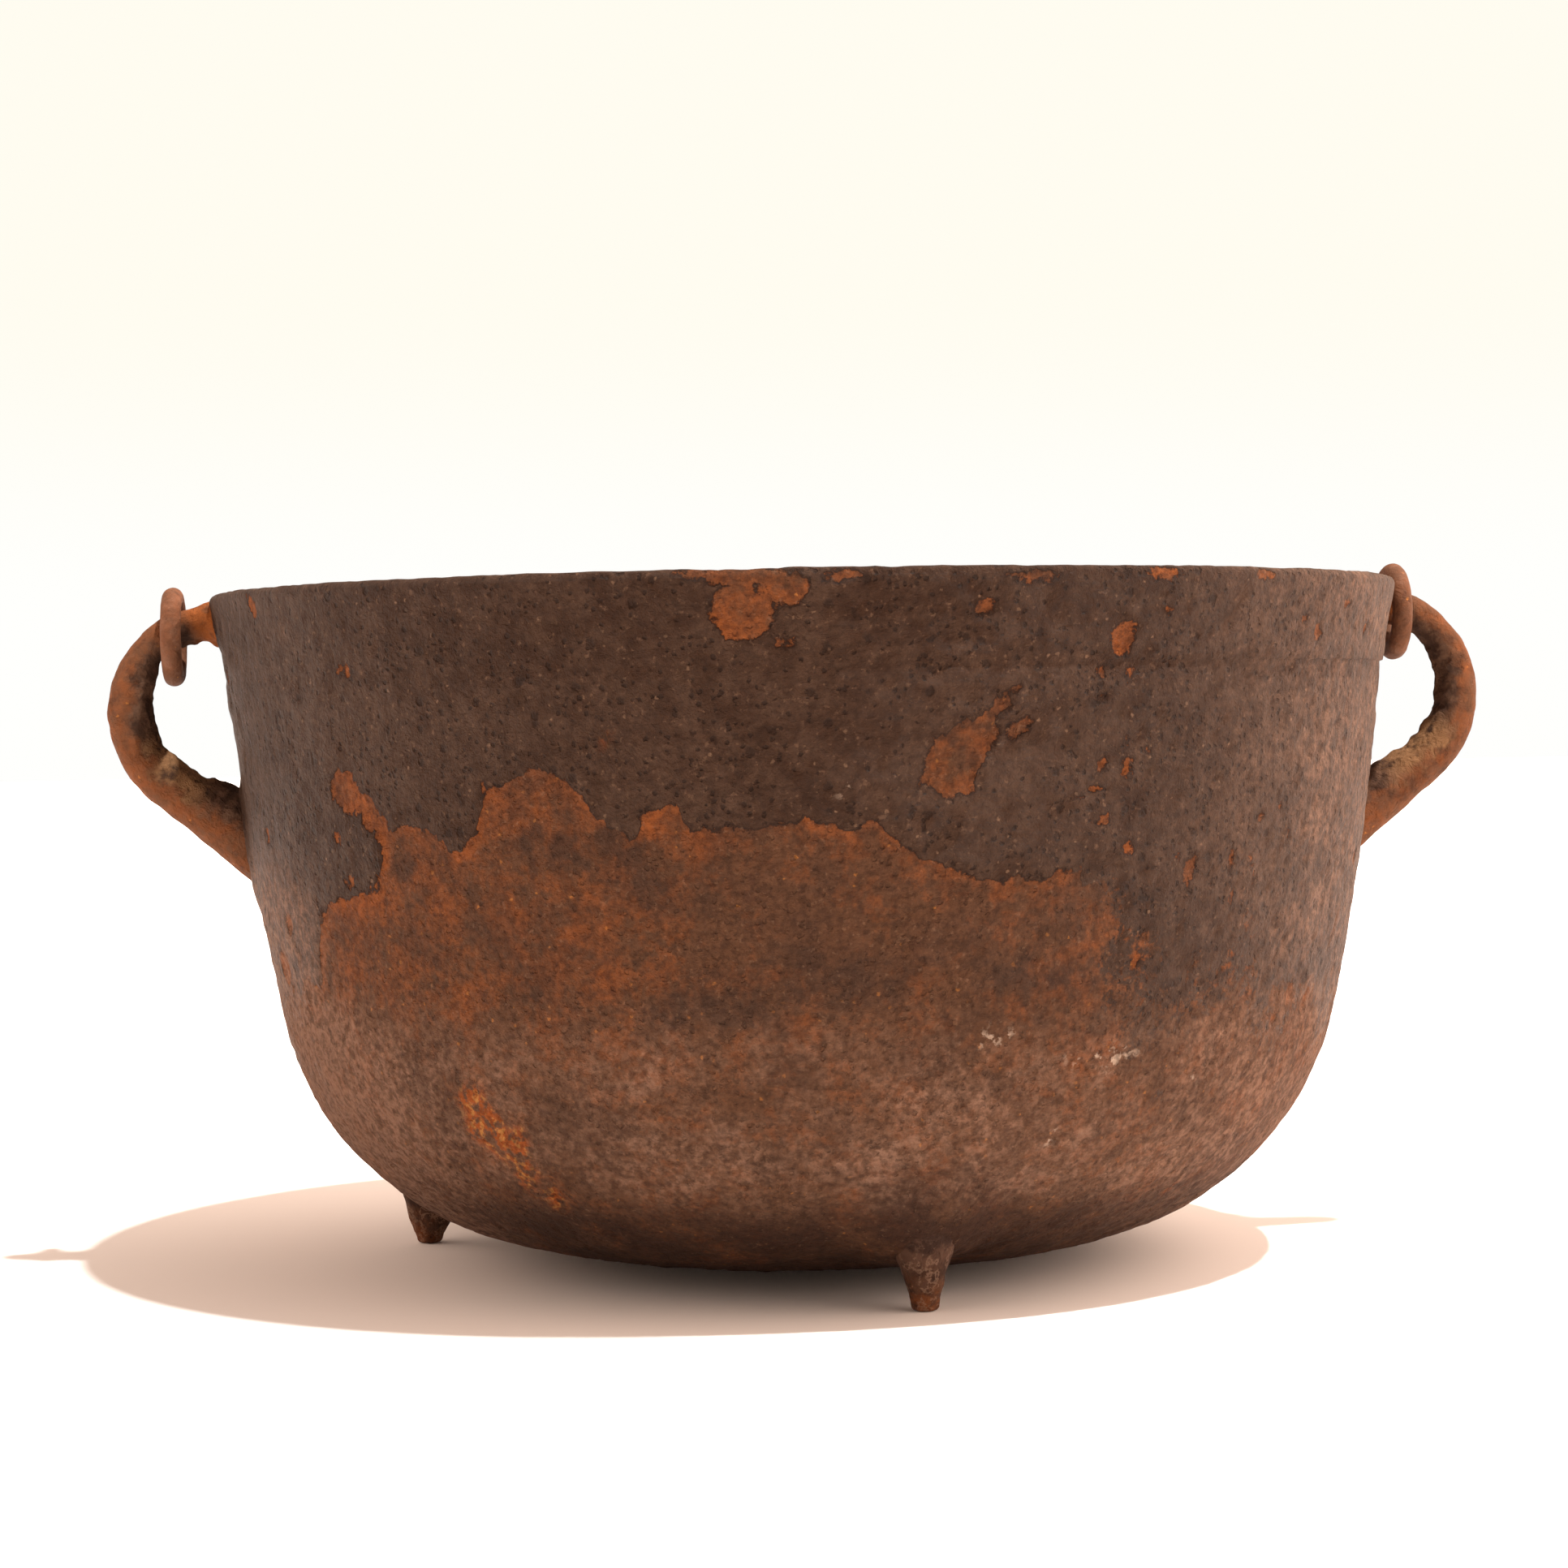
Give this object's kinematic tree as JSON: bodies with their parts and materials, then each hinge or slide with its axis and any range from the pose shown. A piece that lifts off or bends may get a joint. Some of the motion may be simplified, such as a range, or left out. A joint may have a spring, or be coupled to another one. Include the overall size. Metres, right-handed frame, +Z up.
{
  "type": "footed cauldron",
  "caption": "Round-bottomed cast-iron cauldron on short tapered legs, with a loop ear on each side and a loose iron ring hung on each ear.",
  "frame": {"origin": "on the floor under the middle of the bowl, level with the soles of the three legs", "axes": "+Z up, ears and rings along +X and -X, front leg towards -Y"},
  "size_m": [0.4712, 0.4, 0.2318],
  "materials": {
    "bowl_iron": "rough scaled cast iron, dark crust broken by orange-brown rust",
    "ear_iron": "rough rusted cast iron with earthy crust",
    "leg_iron": "dark crackled cast iron, rusty at the tip",
    "ring_iron": "smoother brown rust, worn"
  },
  "bodies": {
    "pot": {"bowl": "bowl_iron", "left_ear": "ear_iron", "right_ear": "ear_iron", "front_leg": "leg_iron", "left_leg": "leg_iron", "rear_leg": "leg_iron"},
    "left_ring": {"left_ring": "ring_iron"},
    "right_ring": {"right_ring": "ring_iron"}
  },
  "joints": [
    {"name": "left_ring_swing", "type": "hinge", "parent": "pot", "child": "left_ring", "pos_m": [-0.2128, 0, 0.21341], "axis": [1, 0, 0], "continuous": true},
    {"name": "right_ring_swing", "type": "hinge", "parent": "pot", "child": "right_ring", "pos_m": [0.2059, 0, 0.21629], "axis": [1, 0, 0], "continuous": true}
  ]
}
